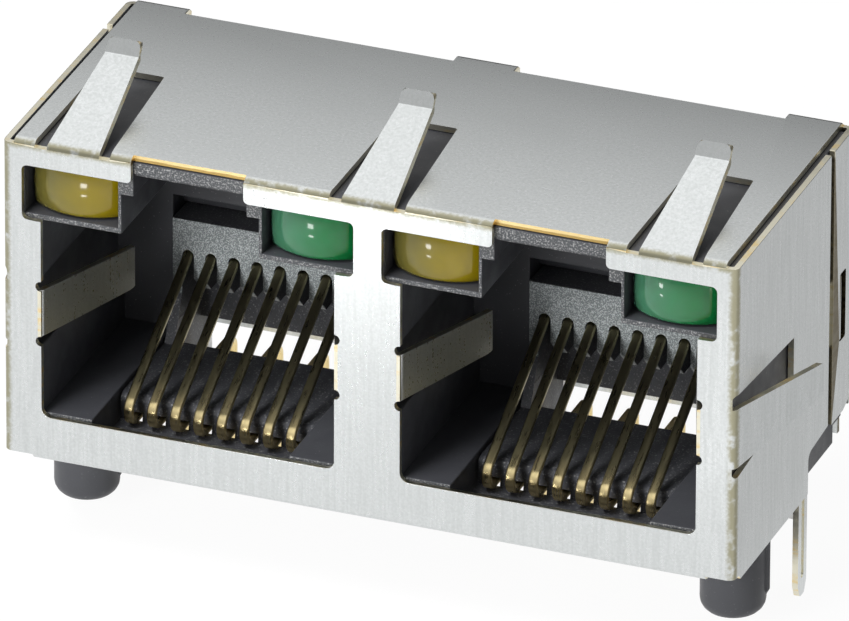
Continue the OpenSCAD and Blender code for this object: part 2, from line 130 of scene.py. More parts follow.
class Graph:
    """A node tree, with short ways to add nodes and to feed their sockets."""

    def __init__(self, tree: NodeTree) -> None:
        """Takes over a tree and empties it.

        Args:
            tree: The tree.
        """
        self.tree = tree
        tree.nodes.clear()

    def add(
        self, kind: str, sockets: dict[str | int, object] | None = None, **settings: object
    ) -> Node:
        """Adds a node.

        Args:
            kind: Type name of the node.
            sockets: What feeds its inputs, by their names or places.
            settings: Properties of the node to set.

        Returns:
            The new node.
        """
        node = self.tree.nodes.new(kind)
        for key, value in settings.items():
            setattr(node, key, value)
        for key, value in (sockets or {}).items():
            self.feed(node.inputs[key], value)
        return node

    def feed(self, socket: NodeSocket, value: object) -> None:
        """Links a socket to an output, or sets it to a plain value.

        Args:
            socket: The input to fill.
            value: An output socket, a number, a colour or a sequence.
        """
        if isinstance(value, NodeSocket):
            self.tree.links.new(value, socket)
        elif socket.type == "RGBA":
            socket.default_value = (*value, 1.0)
        else:
            socket.default_value = value

    def sums(self, kind: str, *values: object) -> NodeSocket:
        """Adds a math node.

        Args:
            kind: Name of the operation.
            values: Its operands, as sockets or numbers.

        Returns:
            The result.
        """
        return self.add("ShaderNodeMath", dict(enumerate(values)), operation=kind).outputs[0]

    def wander(self, value: object, noise: object, amount: float) -> NodeSocket:
        """Shifts a value by a noise.

        Args:
            value: What is shifted.
            noise: The noise, from 0 to 1.
            amount: Shift where the noise is 1.

        Returns:
            The shifted value.
        """
        return self.sums("ADD", value, self.sums("MULTIPLY", noise, amount))

    def ramp(
        self, value: object, band: Span, ends: Span = RISE, origin: float = 0.0
    ) -> NodeSocket:
        """Maps a value smoothly across a band.

        Args:
            value: What is mapped.
            band: The two ends of the band.
            ends: The results there and beyond.
            origin: Where the band is measured from.

        Returns:
            The mapped value.
        """
        low, high = (origin + end for end in band)
        span = {"From Min": low, "From Max": high, "To Min": ends[0], "To Max": ends[1]}
        sockets = {"Value": value, **span}
        node = self.add("ShaderNodeMapRange", sockets, interpolation_type="SMOOTHSTEP")
        return node.outputs["Result"]

    def split(self, vector: NodeSocket) -> tuple[NodeSocket, NodeSocket, NodeSocket]:
        """Splits a vector.

        Args:
            vector: The vector.

        Returns:
            Its x, y and z.
        """
        x, y, z = self.add("ShaderNodeSeparateXYZ", {0: vector}).outputs
        return x, y, z

    def glow(self, kind: str, strength: object, colour: Colour = WHITE) -> NodeSocket:
        """Adds a glowing shader.

        Args:
            kind: Type name of its node.
            strength: How bright it is.
            colour: Its colour.

        Returns:
            The shader.
        """
        return self.add(kind, {"Color": colour, "Strength": strength}).outputs[0]

    def mix(self, factor: object, first: NodeSocket, second: NodeSocket) -> NodeSocket:
        """Mixes two shaders.

        Args:
            factor: Share of the second, from 0 to 1.
            first: The first shader.
            second: The second shader.

        Returns:
            The mixed shader.
        """
        return self.add("ShaderNodeMixShader", {0: factor, 1: first, 2: second}).outputs[0]


class Shader(Graph):
    """The node tree of one material, on coordinates in millimetres."""

    def __init__(self, name: str) -> None:
        """Starts a material.

        Args:
            name: Name of the material.
        """
        self.material: Material = bpy.data.materials.new(name)
        self.material.use_nodes = True
        super().__init__(self.material.node_tree)

    @cached_property
    def place(self) -> NodeSocket:
        """The coordinates in millimetres."""
        return self.scaled(self.add("ShaderNodeTexCoord").outputs["Object"], (1 / MM,) * 3)

    def scaled(self, vector: NodeSocket, factors: Point) -> NodeSocket:
        """Scales coordinates.

        Args:
            vector: The coordinates.
            factors: Factor on each axis.

        Returns:
            The scaled coordinates.
        """
        sockets = {"Vector": vector, "Scale": factors}
        return self.add("ShaderNodeMapping", sockets, vector_type="POINT").outputs["Vector"]

    def noise(self, noise: Noise) -> NodeSocket:
        """Adds a noise.

        Args:
            noise: Its cells, octaves and stretch.

        Returns:
            The noise's value from 0 to 1.
        """
        place = self.scaled(self.place, noise.stretch) if noise.stretch else self.place
        sockets = {"Vector": place, "Scale": noise.scale, "Detail": noise.detail}
        return self.add("ShaderNodeTexNoise", sockets, noise_dimensions="3D").outputs["Fac"]

    def blend(self, factor: object, first: object, second: object) -> NodeSocket:
        """Mixes two colours.

        Args:
            factor: Share of the second, from 0 to 1.
            first: The first colour.
            second: The second colour.

        Returns:
            The mixed colour.
        """
        sockets = {0: factor, 6: first, 7: second}
        return self.add("ShaderNodeMix", sockets, data_type="RGBA").outputs[2]

    def bump(self, height: NodeSocket, depth: float, strength: float) -> NodeSocket:
        """Adds a bump.

        Args:
            height: The height's pattern, from 0 to 1.
            depth: Its depth in millimetres.
            strength: How much of it is used.

        Returns:
            The bumped normal.
        """
        sockets = {"Strength": strength, "Distance": depth * MM, "Height": height}
        return self.add("ShaderNodeBump", sockets).outputs["Normal"]

    def closed(self, surface: NodeSocket) -> Material:
        """Gives the material its surface.

        Args:
            surface: The shader of the surface.

        Returns:
            The material.
        """
        self.add("ShaderNodeOutputMaterial", {"Surface": surface})
        return self.material

    def finish(self, **sockets: object) -> Material:
        """Adds the surface shader and closes the tree.

        Args:
            sockets: Values by socket name, with _ for a space.

        Returns:
            The material.
        """
        named = {key.replace("_", " "): value for key, value in sockets.items()}
        return self.closed(self.add("ShaderNodeBsdfPrincipled", named).outputs["BSDF"])

    def metal(self, colour: NodeSocket, rough: NodeSocket, normal: NodeSocket) -> Material:
        """Finishes the material as a metal.

        Args:
            colour: Its colour.
            rough: Its roughness.
            normal: Its bumped normal.

        Returns:
            The material.
        """
        return self.finish(Base_Color=colour, Metallic=1.0, Roughness=rough, Normal=normal)


# ---------------------------------------------------------------- finishes


@dataclass(frozen=True)
class PlatedSheet:
    """Matt tin over brass strip, rubbed to a warm tone along its outer folds."""

    name: str = "tin_plate_sheet"
    bright: Colour = (0.82, 0.845, 0.845)
    dull: Colour = (0.70, 0.725, 0.72)
    rubbed: Colour = (0.43, 0.41, 0.29)
    grain: Noise = Noise(9.0, 3.0)
    streaks: Noise = Noise(7.0, 2.0, (1, 1, 0.05))
    clouds: Noise = Noise(0.22)
    cloud_span: Span = (0.3, 0.75)
    cloud_share: float = 0.3
    tones: Span = (0.34, 0.66)
    skin: float = 0.3  # from the housing's face to the sheet's outer face
    rub: Span = (0.30, 0.56)  # from a fold or rim, where the rubbing ends
    ragged: Noise = Noise(9.0, 3.0)
    ragged_by: float = 0.16
    patches: Noise = Noise(2.2, 4.0)
    patch_span: Span = (0.24, 0.5)
    lid_relief: float = 0.16  # how much narrower the rubbing is on the lid
    rough: Span = (0.35, 0.26)
    rubbed_rough: float = 0.06
    relief: Span = (0.002, 0.5)

    def material(self) -> Material:
        """Builds the plated surface.

        Returns:
            The material, whose rubbed folds follow the shield's own box.
        """
        tree = Shader(self.name)
        grain = tree.noise(self.grain)
        tone = tree.sums("MULTIPLY", tree.sums("ADD", grain, tree.noise(self.streaks)), 0.5)
        clouds = tree.ramp(tree.noise(self.clouds), self.cloud_span, (0.0, self.cloud_share))
        plate = tree.blend(tree.ramp(tone, self.tones), self.dull, self.bright)
        plate = tree.blend(clouds, plate, self.dull)
        ragged = tree.wander(self.from_fold(tree), tree.noise(self.ragged), self.ragged_by)
        patches = tree.ramp(tree.noise(self.patches), self.patch_span)
        rub = tree.sums("MULTIPLY", tree.ramp(ragged, self.rub, FALL), patches)
        rough = tree.ramp(tone, NOISE_SPAN, self.rough)
        rough = tree.wander(rough, rub, self.rubbed_rough)
        colour = tree.blend(rub, plate, self.rubbed)
        return tree.metal(colour, rough, tree.bump(grain, *self.relief))

    def from_fold(self, tree: Shader) -> NodeSocket:
        """Measures the distance from the nearest outer fold or rim.

        Args:
            tree: The material's tree.

        Returns:
            The distance in millimetres.
        """
        low, high = (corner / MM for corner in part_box("shield"))
        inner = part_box("housing")[1] / MM
        x, y, z = tree.split(tree.place)
        side = tree.sums("SUBTRACT", inner.x + self.skin, tree.sums("ABSOLUTE", x))
        front, rear = tree.sums("SUBTRACT", y, low.y), tree.sums("SUBTRACT", high.y, y)
        relief = tree.ramp(z, (0.0, self.skin), (0.0, self.lid_relief), inner.z)
        ends = tree.sums("ADD", tree.sums("MINIMUM", front, rear), relief)
        lid = tree.sums("ABSOLUTE", tree.sums("SUBTRACT", inner.z + self.skin, z))
        return tree.sums("MAXIMUM", ends, tree.sums("MINIMUM", side, lid))


@dataclass(frozen=True)
class CutEdge:
    """Sheared edges: bare brass in front over the latches, painted shade at the rear, else smeared
    tin.
    """

    name: str = "sheared_brass_edge"
    smeared: Colour = (0.90, 0.86, 0.70)
    bare: Colour = (0.95, 0.74, 0.36)
    torn: Colour = (0.50, 0.34, 0.12)
    # painted shade: the dark colour of the cut edges low at the rear
    painted_rear_shade: Colour = (0.17, 0.14, 0.08)
    tear: Noise = Noise(4.0, 3.0, (0.3, 0.3, 1))
    tear_depth: float = 0.1
    torn_band: Span = (0.19, 0.25)  # above the housing's roof
    smear_span: Span = (0.25, 0.5)
    front: Span = (0.7, 0.8)  # behind the shield's front
    brow: Span = (-0.1, 0.0)  # from the housing's roof
    latch: Span = (2.5, 2.6)  # aside from the middle of a port
    rear: Span = (-2.6, -2.3)  # from the shield's rear, where the painted shade sets in
    nape: Span = (-0.3, -0.1)  # from the housing's roof, below which the painted shade lies
    rough: Span = (0.42, 0.28)
    relief: Span = (0.004, 0.5)

    def material(self) -> Material:
        """Builds the sheared edge from the shield's own box.

        Returns:
            The material: burnished and torn brass at the top's front edge, painted shade at the
                rear.
        """
        low, high = (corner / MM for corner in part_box("shield"))
        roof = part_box("housing")[1].z / MM
        port = abs(sum(corner.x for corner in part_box("contact_carrier_1"))) / 2 / MM
        tree = Shader(self.name)
        x, y, z = tree.split(tree.place)
        aside = tree.sums("SUBTRACT", tree.sums("ABSOLUTE", x), port)
        aside = tree.sums("ABSOLUTE", aside)
        tear = tree.noise(self.tear)
        depth = tree.wander(z, tear, self.tear_depth)
        brass = tree.blend(tree.ramp(depth, self.torn_band, RISE, roof), self.torn, self.bare)
        tinned = tree.blend(tree.ramp(tear, self.smear_span), self.bare, self.smeared)
        front = tree.ramp(y, self.front, FALL, low.y)
        front = tree.sums("MULTIPLY", front, tree.ramp(z, self.brow, RISE, roof))
        front = tree.sums("MULTIPLY", front, tree.ramp(aside, self.latch, FALL))
        rear = tree.ramp(y, self.rear, RISE, high.y)
        rear = tree.sums("MULTIPLY", rear, tree.ramp(z, self.nape, FALL, roof))
        # painted shade darkens the cut edges low at the rear
        colour = tree.blend(rear, tree.blend(front, tinned, brass), self.painted_rear_shade)
        rough = tree.ramp(tear, NOISE_SPAN, self.rough)
        return tree.metal(colour, rough, tree.bump(tear, *self.relief))


@dataclass(frozen=True)
class MouldedPlastic:
    """Glass-filled black resin, with painted glints as light flecks where the mould was spark
    eroded.
    """

    name: str
    base: Colour = (0.036, 0.037, 0.042)
    glint_fleck: Colour = (0.16, 0.16, 0.16)
    glint_span: Span = (0.48, 0.68)  # values of its noise over which a painted glint sets in
    glint_scale: float = 1.4  # over the grain's
    grain: float = 9.0
    clouds: Noise = Noise(0.8, 3.0)
    rough: Span = (0.36, 0.50)
    relief: Span = (0.012, 0.6)

    def material(self) -> Material:
        """Builds the moulded surface, with painted glints as light flecks.

        Returns:
            The material.
        """
        tree = Shader(self.name)
        # painted glints: light flecks in the colour stand for the sparkle
        glints = tree.noise(Noise(self.grain * self.glint_scale, 1.0))
        return tree.finish(
            Base_Color=tree.blend(tree.ramp(glints, self.glint_span), self.base, self.glint_fleck),
            Roughness=tree.ramp(tree.noise(self.clouds), NOISE_SPAN, self.rough),
            Normal=tree.bump(tree.noise(Noise(self.grain, 3.0)), *self.relief),
        )


@dataclass(frozen=True)
class GoldPlate:
    """Thin selective gold over the spring wire, with painted shade darkening it higher up."""

    name: str = "gold_over_spring_wire"
    gold: Colour = (0.98, 0.80, 0.42)
    # the wire's colour under the painted shade, higher up in the port
    bare: Colour = (0.40, 0.36, 0.21)
    painted_shade_band: Span = (2.1, 3.3)  # heights between which the painted shade sets in
    ragged: Noise = Noise(0.9, 3.0)
    ragged_by: float = 0.9
    drawn: Noise = Noise(9.0, 2.0, (1, 0.12, 0.12))
    rough: Span = (0.26, 0.38)
    relief: Span = (0.0015, 0.4)

    def material(self) -> Material:
        """Builds the contact wire's plating, brightest at the front bends, with painted shade
        higher up.

        Returns:
            The material.
        """
        tree = Shader(self.name)
        _, _, z = tree.split(tree.place)
        # painted shade: the wire darkens above the front bends, along a ragged line
        edge = tree.wander(z, tree.noise(self.ragged), self.ragged_by)
        colour = tree.blend(tree.ramp(edge, self.painted_shade_band), self.gold, self.bare)
        drawn = tree.noise(self.drawn)
        rough = tree.ramp(drawn, NOISE_SPAN, self.rough)
        return tree.metal(colour, rough, tree.bump(drawn, *self.relief))


@dataclass(frozen=True)
class TinnedWire:
    """Solder-dipped lead wire."""

    name: str = "tinned_wire"
    bright: Colour = (0.74, 0.74, 0.73)
    dull: Colour = (0.52, 0.52, 0.51)
    clouds: Noise = Noise(1.6, 3.0)
    tones: Span = (0.35, 0.65)
    ripple: Noise = Noise(6.0)
    rough: Span = (0.36, 0.24)
    relief: Span = (0.004, 0.4)

    def material(self) -> Material:
        """Builds the tinned surface.

        Returns:
            The material.
        """
        tree = Shader(self.name)
        clouds = tree.noise(self.clouds)
        colour = tree.blend(tree.ramp(clouds, self.tones), self.dull, self.bright)
        rough = tree.ramp(clouds, NOISE_SPAN, self.rough)
        return tree.metal(colour, rough, tree.bump(tree.noise(self.ripple), *self.relief))


@dataclass(frozen=True)
class LensResin:
    """Tinted diffusing resin of a lamp body, deeper to one side; its paler side is a painted
    reflection.
    """

    name: str
    # pale: a painted reflection on the lamp's left side; deep: the resin's tint
    pale: Colour
    deep: Colour
    centre: float
    span: float = 1.8
    clouds: Noise = Noise(1.4, 3.0)
    cloud_shift: float = 0.8
    polish: Noise = Noise(3.0)
    rough: Span = (0.1, 0.2)
    ripple: Noise = Noise(2.4)
    relief: Span = (0.02, 0.25)
    scatter: float = 0.35
    scatter_tint: Colour = (1.0, 0.8, 0.5)
    scatter_depth: float = 0.6
    index: float = 1.5
    shine: float = 0.2
    coat: float = 0.8
    coat_rough: float = 0.04

    def material(self) -> Material:
        """Builds the resin of one lamp.

        Returns:
            The material, shaded across the lamp from its centre, paler to the left as a painted
            reflection.
        """
        tree = Shader(self.name)
        x, _, _ = tree.split(tree.place)
        across = tree.wander(x, tree.noise(self.clouds), self.cloud_shift)
        middle = self.centre + self.cloud_shift / 2
        # painted reflection: paler to the left of the lamp, deeper to the right
        depth = tree.ramp(across, (-self.span, self.span), RISE, middle)
        return tree.finish(
            Base_Color=tree.blend(depth, self.pale, self.deep),
            Roughness=tree.ramp(tree.noise(self.polish), NOISE_SPAN, self.rough),
            Normal=tree.bump(tree.noise(self.ripple), *self.relief),
            Subsurface_Weight=self.scatter,
            Subsurface_Radius=self.scatter_tint,
            Subsurface_Scale=self.scatter_depth * MM,
            IOR=self.index,
            Specular_IOR_Level=self.shine,
            Coat_Weight=self.coat,
            Coat_Roughness=self.coat_rough,
        )


# ---------------------------------------------------------------- mesh work


@dataclass(frozen=True)
class Rounding:
    """A rounding of sharp edges: its width, and the smallest angle rounded, in degrees."""

    width: float
    angle: float
    steps: int = 2
    room: float = 2.2  # least length of an edge and breadth of a face, over the width


def linked(name: str, data: ID) -> Object:
    """Makes an object and links it to the scene.

    Args:
        name: Name of the object.
        data: Its mesh, curve, camera or light.

    Returns:
        The object.
    """
    thing = bpy.data.objects.new(name, data)
    bpy.context.scene.collection.objects.link(thing)
    return thing


def meshed(name: str, shell: BMesh) -> Mesh:
    """Turns a shell into a mesh.

    Args:
        name: Name of the mesh.
        shell: The shell, which is freed.

    Returns:
        The mesh.
    """
    mesh = bpy.data.meshes.new(name)
    shell.to_mesh(mesh)
    shell.free()
    return mesh


def rectangle(name: str, near: Sequence[float], far: Sequence[float]) -> Mesh:
    """Makes a rectangle that lies or stands between two opposite corners.

    Args:
        name: Name of the mesh.
        near: The near, left and lowest corner in millimetres.
        far: The opposite corner in millimetres.

    Returns:
        The mesh.
    """
    (left, front, low), (right, back, high) = near, far
    corners = [(left, front, low), (right, front, low), (right, back, high), (left, back, high)]
    mesh = bpy.data.meshes.new(name)
    mesh.from_pydata([Vector(corner) * MM for corner in corners], [], [(0, 1, 2, 3)])
    return mesh


def joined(node: str) -> BMesh:
    """Joins a CAD node's loose triangles.

    Args:
        node: Name of the node in the frame.

    Returns:
        The node as one shell, in metres.
    """
    shell = bmesh.new()
    shell.from_mesh(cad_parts[node].data)
    bmesh.ops.remove_doubles(shell, verts=shell.verts, dist=MERGE)
    return shell


def flattened(shell: BMesh, rule: FaceRule) -> None:
    """Sorts a shell's triangles into material slots and makes its flat faces whole again.

    Args:
        shell: The shell.
        rule: Gives a triangle's slot.
    """
    for face in shell.faces:
        face.material_index = rule(face)
    bmesh.ops.dissolve_limit(
        shell,
        angle_limit=FLAT,
        verts=shell.verts,
        edges=shell.edges,
        delimit={"NORMAL", "MATERIAL"},
    )


def piece_of(name: str, mesh: Mesh, slot: Slot, *nodes: str) -> Object:
    """Links a finished mesh as a piece that stands for CAD nodes.

    Args:
        name: Name of the piece.
        mesh: Its mesh, in place.
        slot: Not used.
        nodes: The CAD nodes it stands for.

    Returns:
        The piece's object.
    """
    mesh.name = name
    piece = linked(name, mesh)
    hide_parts(*nodes)
    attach(piece, BODY)
    return piece


def evaluated(holder: Object) -> Mesh:
    """Turns an object and its modifiers into one plain mesh.

    Args:
        holder: The object, which is removed.

    Returns:
        The mesh with all modifiers in it.
    """
    graph = bpy.context.evaluated_depsgraph_get()
    graph.update()
    mesh = bpy.data.meshes.new_from_object(
        holder.evaluated_get(graph), preserve_all_data_layers=True, depsgraph=graph
    )
    holder.modifiers.clear()
    bpy.data.objects.remove(holder)
    return mesh


def creased(mesh: Mesh) -> None:
    """Shades a mesh smooth between its creases.

    Args:
        mesh: The mesh.
    """
    for face in mesh.polygons:
        face.use_smooth = True
    mesh.set_sharp_from_angle(angle=CREASE)


def flat_regions(shell: BMesh) -> dict[int, tuple[int, float]]:
    """Groups a shell's faces into flat regions.

    Args:
        shell: The shell.

    Returns:
        By face index, the region's number and its area.
    """
    region: dict[int, int] = {}
    areas: list[float] = []
    for seed in shell.faces:
        if seed.index in region:
            continue
        number, area, stack = len(areas), 0.0, [seed]
        region[seed.index] = number
        while stack:
            face = stack.pop()
            area += face.calc_area()
            for edge in face.edges:
                for other in edge.link_faces:
                    if other.index not in region and other.normal.dot(face.normal) > COPLANAR:
                        region[other.index] = number
                        stack.append(other)
        areas.append(area)
    return {face: (number, areas[number]) for face, number in region.items()}


def steady_normals(mesh: Mesh) -> None:
    """Shades flat regions flat and the roundings between them as one curve.

    Args:
        mesh: The mesh to shade.
    """
    shell = bmesh.new()
    shell.from_mesh(mesh)
    shell.normal_update()
    region = flat_regions(shell)
    normals: list[Vector] = []
    for face in shell.faces:
        for loop in face.loops:
            near = {
                region[other.index]: other.normal
                for other in loop.vert.link_faces
                if other.normal.dot(face.normal) > math.cos(CREASE)
            }
            total = sum((n * (area / MM**2) ** 2 for (_, area), n in near.items()), Vector())
            normals.append(total.normalized() if total.length > 0 else face.normal)
    shell.free()
    for face in mesh.polygons:
        face.use_smooth = True
    mesh.normals_split_custom_set(normals)


def mark_rims(shell: BMesh, rounding: Rounding) -> None:
    """Weighs the outward edges of a shell that have room for a rounding.

    Args:
        shell: The shell.
        rounding: The rounding.
    """
    layer = shell.edges.layers.float.new("bevel_weight_edge")
    least = rounding.room * rounding.width * MM
    roomy = {v for v in shell.verts if min(e.calc_length() for e in v.link_edges) > least}
    broad = {f for f in shell.faces if 2 * f.calc_area() > least * f.calc_perimeter()}
    for edge in shell.edges:
        if len(edge.link_faces) != 2 or not roomy.issuperset(edge.verts):
            continue
        if not broad.issuperset(edge.link_faces):
            continue
        if edge.calc_face_angle_signed(0.0) > math.radians(rounding.angle):
            edge[layer] = 1.0


def rounded_off(shell: BMesh, rounding: Rounding) -> Mesh:
    """Rounds the sharp edges of a shell and smooths its normals.

    Args:
        shell: The shell, which is freed.
        rounding: The rounding.

    Returns:
        The finished mesh.
    """
    mark_rims(shell, rounding)
    holder = linked("shell", meshed("shell", shell))
    bevel = holder.modifiers.new("rounding", "BEVEL")
    bevel.width = rounding.width * MM
    bevel.segments = rounding.steps
    bevel.limit_method = "WEIGHT"
    bevel.use_clamp_overlap = False
    made = evaluated(holder)
    closed = bmesh.new()
    closed.from_mesh(made)
    bmesh.ops.remove_doubles(closed, verts=closed.verts, dist=MERGE)
    bmesh.ops.dissolve_degenerate(closed, edges=closed.edges, dist=MERGE)
    closed.to_mesh(made)
    closed.free()
    steady_normals(made)
    return made


# ---------------------------------------------------------------- swept wires


class SweptWires:
    """The node tree that sweeps a rounded bar along a path and repeats it in a row."""

    INPUTS = (
        ("Path", "Geometry"),
        ("Width", "Float"),
        ("Thickness", "Float"),
        ("Corner", "Float"),
        ("Pitch", "Float"),
        ("Count", "Int"),
        ("Finish", "Material"),
    )
    CORNER_STEPS = 3

    def __init__(self) -> None:
        """Builds the tree once, for every row of wires."""
        self.tree: NodeTree = bpy.data.node_groups.new("swept_wires", "GeometryNodeTree")
        face = self.tree.interface
        for name, kind in self.INPUTS:
            face.new_socket(name=name, in_out="INPUT", socket_type=f"NodeSocket{kind}")
        face.new_socket(name="Wires", in_out="OUTPUT", socket_type="NodeSocketGeometry")
        self.fill(Graph(self.tree))

    def fill(self, graph: Graph) -> None:
        """Fills the tree: profile, sweep, row, realized mesh and its finish.

        Args:
            graph: The tree.
        """
        given = graph.add("NodeGroupInput").outputs
        aim = graph.add(
            "GeometryNodeSetCurveNormal",
            {"Curve": given["Path"], "Normal": (1.0, 0.0, 0.0)},
            mode="FREE",
        )
        bar = graph.add(
            "GeometryNodeCurvePrimitiveQuadrilateral",
            {"Width": given["Width"], "Height": given["Thickness"]},
            mode="RECTANGLE",
        )
        corners = {"Count": self.CORNER_STEPS, "Radius": given["Corner"], "Limit Radius": True}
        soft = graph.add(
            "GeometryNodeFilletCurve", {"Curve": bar.outputs["Curve"], **corners}, mode="POLY"
        )
        ends = {"Curve": aim.outputs["Curve"], "Profile Curve": soft.outputs["Curve"]}
        sweep = graph.add("GeometryNodeCurveToMesh", {**ends, "Fill Caps": True})
        step = graph.add("ShaderNodeCombineXYZ", {"X": given["Pitch"]})
        row = graph.add(
            "GeometryNodeMeshLine",
            {"Count": given["Count"], "Offset": step.outputs["Vector"]},
            mode="OFFSET",
        )
        repeat = graph.add(
            "GeometryNodeInstanceOnPoints",
            {"Points": row.outputs["Mesh"], "Instance": sweep.outputs["Mesh"]},
        )
        real = graph.add(
            "GeometryNodeRealizeInstances", {"Geometry": repeat.outputs["Instances"]}
        )
        dress = graph.add(
            "GeometryNodeSetMaterial",
            {"Geometry": real.outputs["Geometry"], "Material": given["Finish"]},
        )
        graph.add("NodeGroupOutput", {"Wires": dress.outputs["Geometry"]})

    def row(self, path: Sequence[Vector], **values: object) -> Mesh:
        """Makes one row of wires.

        Args:
            path: Middle line of the first wire, in metres.
            values: The tree's inputs by name.

        Returns:
            The row as one mesh.
        """
        curve = bpy.data.curves.new("path", "CURVE")
        curve.dimensions = "3D"
        line = curve.splines.new("POLY")
        line.points.add(len(path) - 1)
        for point, place in zip(line.points, path):
            point.co = (*place, 1.0)
        holder = linked("path", curve)
        modifier = holder.modifiers.new("wires", "NODES")
        modifier.node_group = self.tree
        for item in self.tree.interface.items_tree:
            if item.in_out == "INPUT" and item.name in values:
                modifier[item.identifier] = values[item.name]
        mesh = evaluated(holder)
        creased(mesh)
        return mesh


def filleted(corners: Sequence[Vector], radii: Sequence[float], steps: int) -> list[Vector]:
    """Rounds the corners of a bent wire's middle line.

    Args:
        corners: Ends and corners of the path.
        radii: Radius at each corner, 0 at the two ends.
        steps: Segments in each bend.

    Returns:
        The points of the rounded path.
    """
    path: list[Vector] = []
    for i, (corner, radius) in enumerate(zip(corners, radii)):
        if radius <= 0:
            path.append(corner)
            continue
        back = (corners[i - 1] - corner).normalized()
        ahead = (corners[i + 1] - corner).normalized()
        half = back.angle(ahead) / 2
        middle = corner + (back + ahead).normalized() * (radius / math.sin(half))
        start = corner + back * (radius / math.tan(half)) - middle
        end = corner + ahead * (radius / math.tan(half)) - middle
        axis, turn = start.cross(end), start.angle(end)
        path += [
            middle + Matrix.Rotation(turn * k / steps, 3, axis) @ start for k in range(steps + 1)
        ]
    return path


# ---------------------------------------------------------------- the pieces


@dataclass
class Shield:
    """The folded shield with its lanced fingers, port springs and ground pins."""

    sheet: PlatedSheet = PlatedSheet()
    edge: CutEdge = CutEdge()
    thickness: float = 0.25
    slack: float = 1.35  # how much thicker than the sheet a plated wall may look
    inset: float = 0.001  # where a look through the sheet starts, under its face
    rounding: Rounding = Rounding(width=0.035, angle=32)

    def build(self) -> list[Object]:
        """Makes the shield from its CAD node, with plated faces and bare cut edges.

        Returns:
            The shield's piece.
        """
        shell = joined("shield")
        flattened(shell, self.by_wall(shell))
        mesh = rounded_off(shell, self.rounding)
        mesh.materials.append(self.sheet.material())
        mesh.materials.append(self.edge.material())
        return [piece_of("shield_sheet", mesh, Slot.SHEET, "shield")]

    def by_wall(self, shell: BMesh) -> FaceRule:
        """Sorts plated faces from sheared edges by how far the opposite face is.

        Args:
            shell: The shield's joined triangles.

        Returns:
            A rule that gives 0 for a plated face and 1 for a sheared edge.
        """
        tree = BVHTree.FromBMesh(shell)
        reach = self.thickness * self.slack * MM

        def rule(face: BMFace) -> int:
            """Looks through the sheet from one triangle, for its slot."""
            start = face.calc_center_median() - face.normal * self.inset * MM
            return 0 if tree.ray_cast(start, -face.normal, reach)[0] is not None else 1

        return rule


@dataclass
class Mouldings:
    """The black housing and the contact carriers pressed into it."""

    ports: int
    polished: MouldedPlastic = MouldedPlastic(
        "moulded_black", glint_span=(0.70, 0.812), relief=(0.004, 0.6)
    )
    # the housing's forward faces: spark eroded, with denser painted glints
    sparked: MouldedPlastic = MouldedPlastic("moulded_black_sparked", base=(0.028, 0.03, 0.033))
    carrier: MouldedPlastic = MouldedPlastic(
        "carrier_resin", glint_span=(0.58, 0.74), rough=(0.40, 0.54)
    )
    # painted sheen: the carriers' forward faces get a lighter colour and more painted glints
    comb_painted_sheen: MouldedPlastic = MouldedPlastic(
        "carrier_resin_comb",
        base=(0.10, 0.112, 0.115),
        glint_fleck=(0.30, 0.32, 0.32),
        glint_span=(0.44, 0.656),
        grain=14.0,
    )
    rounding: Rounding = Rounding(width=0.06, angle=35)
    front_depth: float = 2.4  # how far behind the housing's front the eroded faces go
    facing: float = 0.7  # least share of an eroded face's normal that looks forward

    def build(self) -> list[Object]:
        """Makes the housing and the carriers.

        Returns:
            Their pieces.
        """
        smooth, rough, resin, comb_painted_sheen = (
            finish.material() for finish in (self.polished, self.sparked, self.carrier, self.comb_painted_sheen)
        )
        # forward faces near the housing's front take the denser painted glints
        lips = self.eroded(-math.inf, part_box("housing")[0].y + self.front_depth * MM)
        made = [self.mould("housing", "housing_moulding", Slot.HOUSING, (smooth, rough), lips)]
        for port in range(1, self.ports + 1):
            node = f"contact_carrier_{port}"
            low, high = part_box(node)
            teeth = self.eroded((low.z + high.z) / 2, high.y)
            name = f"carrier_moulding_{port}"
            # the forward faces of the teeth take the painted sheen
            made.append(self.mould(node, name, Slot.CARRIER, (resin, comb_painted_sheen), teeth))
        return made

    def eroded(self, floor: float, back: float) -> FaceRule:
        """Makes the rule for a moulding's spark-eroded faces.

        Args:
            floor: Height above which such faces lie, in metres.
            back: Depth before which they lie, in metres.

        Returns:
            A rule that gives 1 for such a face and 0 for any other.
        """

        def rule(face: BMFace) -> int:
            """Looks at where one triangle faces and lies, for its slot."""
            place = face.calc_center_median()
            return int(face.normal.y < -self.facing and place.y < back and place.z > floor)

        return rule

    def mould(
        self, node: str, name: str, slot: Slot, finish: tuple[Material, Material], rule: FaceRule
    ) -> Object:
        """Makes one moulding with softened edges.

        Args:
            node: The CAD node it stands for.
            name: Name of the piece.
            slot: The record's slot of its material.
            finish: Material of its walls, and of its spark-eroded faces.
            rule: Tells which of the two a face has.

        Returns:
            The piece.
        """
        shell = joined(node)
        flattened(shell, rule)
        mesh = rounded_off(shell, self.rounding)
        for material in finish:
            mesh.materials.append(material)
        return piece_of(name, mesh, slot, node)


